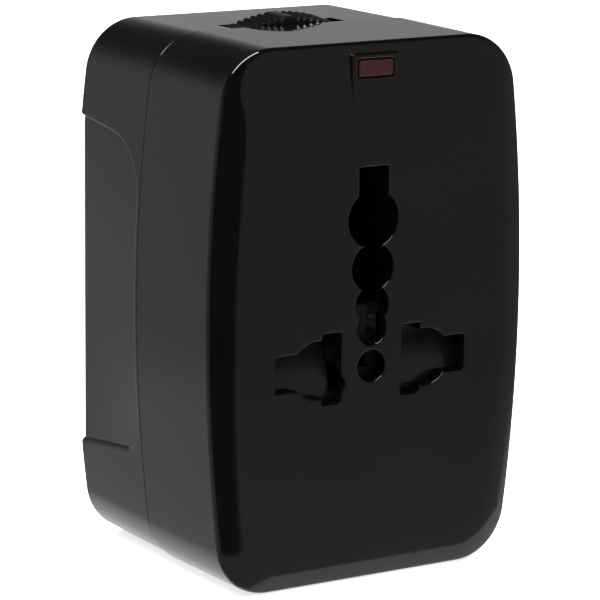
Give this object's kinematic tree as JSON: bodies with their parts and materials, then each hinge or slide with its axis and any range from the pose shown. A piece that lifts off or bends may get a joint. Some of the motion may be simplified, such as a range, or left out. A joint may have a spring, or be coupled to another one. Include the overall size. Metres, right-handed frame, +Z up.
{
  "type": "universal travel adapter",
  "caption": "Pocket travel plug adapter: a socket half with a multi-standard face and a plug half with folding pins and a thumb wheel, which pull apart.",
  "frame": {"origin": "middle of the body's footprint, on the surface that it stands on", "axes": "+Z up, the socket face looks along -Y, the plug pins come out along +Y"},
  "size_m": [0.0504, 0.0384, 0.0754],
  "materials": {
    "casing": "glossy black",
    "inner": "satin black",
    "brass": "bright",
    "steel": "bright zinc",
    "lens": "clear dark red",
    "board": "satin green",
    "lamp": "clear",
    "resistor": "satin tan",
    "varistor": "glossy blue",
    "fuse": "glazed ceramic",
    "wire": "satin red",
    "gear": "satin white"
  },
  "bodies": {
    "socket_half": {"front_casing": "casing", "indicator_lens": "lens", "socket_block": "inner", "shutter_spring": "steel", "line_contact": "brass", "neutral_contact": "brass", "earth_contact": "brass", "circuit_board": "board", "indicator_lamp": "lamp", "lamp_resistor": "resistor", "varistor": "varistor", "fuse": "fuse", "line_wire": "wire", "neutral_wire": "wire", "line_strap": "brass", "neutral_strap": "brass", "back_plate": "inner", "front_screws": "steel"},
    "shutter": {"safety_shutter": "inner"},
    "left_us_blade": {"left_rotor": "inner", "left_blade": "brass"},
    "right_us_blade": {"right_rotor": "inner", "right_blade": "brass"},
    "plug_half": {"rear_casing": "casing", "pin_frame": "inner", "frame_screws": "steel", "mid_cover": "inner", "rear_screws": "steel", "wheel_axle": "steel", "line_bus": "brass", "neutral_bus": "brass", "uk_pin_axles": "steel", "earth_axle": "steel", "eu_axle": "steel"},
    "selector": {"selector_wheel": "casing", "selector_pinion": "gear"},
    "changeover": {"changeover_slide": "gear", "slide_contact": "brass"},
    "uk_line": {"uk_line_pin": "brass"},
    "uk_neutral": {"uk_neutral_pin": "brass"},
    "uk_earth": {"uk_earth_pin": "inner"},
    "eu_plug": {"eu_carrier": "inner", "eu_pins": "brass"}
  },
  "joints": [
    {"name": "halves_pull", "type": "slide", "parent": "socket_half", "child": "plug_half", "axis": [0, 1, 0], "range_m": [0, 0.024]},
    {"name": "shutter_slide", "type": "slide", "parent": "socket_half", "child": "shutter", "axis": [0, 0, -1], "range_m": [0, 0.0055], "stiffness_N_per_m": 150, "springref_m": -0.002},
    {"name": "left_blade_twist", "type": "hinge", "parent": "socket_half", "child": "left_us_blade", "pos_m": [-0.00635, 0.00055, 0.0076], "axis": [0, 1, 0], "range_deg": [0, 30]},
    {"name": "right_blade_twist", "type": "hinge", "parent": "socket_half", "child": "right_us_blade", "pos_m": [0.00635, 0.00055, 0.0076], "axis": [0, -1, 0], "range_deg": [0, 30]},
    {"name": "selector_turn", "type": "hinge", "parent": "plug_half", "child": "selector", "pos_m": [-0.001, 0.00055, 0.0549], "axis": [0, 1, 0], "range_deg": [-45, 45]},
    {"name": "changeover_move", "type": "slide", "parent": "plug_half", "child": "changeover", "axis": [-1, 0, 0], "range_m": [-0.004, 0.004]},
    {"name": "uk_line_fold", "type": "hinge", "parent": "plug_half", "child": "uk_line", "pos_m": [0.0111, 0.0151, 0.03455], "axis": [1, 0, 0], "range_deg": [0, 90]},
    {"name": "uk_neutral_fold", "type": "hinge", "parent": "plug_half", "child": "uk_neutral", "pos_m": [-0.0111, 0.0151, 0.03455], "axis": [1, 0, 0], "range_deg": [0, 90]},
    {"name": "uk_earth_fold", "type": "hinge", "parent": "plug_half", "child": "uk_earth", "pos_m": [0, 0.0151, 0.05675], "axis": [1, 0, 0], "range_deg": [0, 90]},
    {"name": "eu_fold", "type": "hinge", "parent": "plug_half", "child": "eu_plug", "pos_m": [0, 0.0151, 0.0652], "axis": [1, 0, 0], "range_deg": [0, 90]}
  ],
  "couplings": [
    {"joint": "changeover_move", "follows": "selector_turn", "m_per_rad": 0.005}
  ]
}
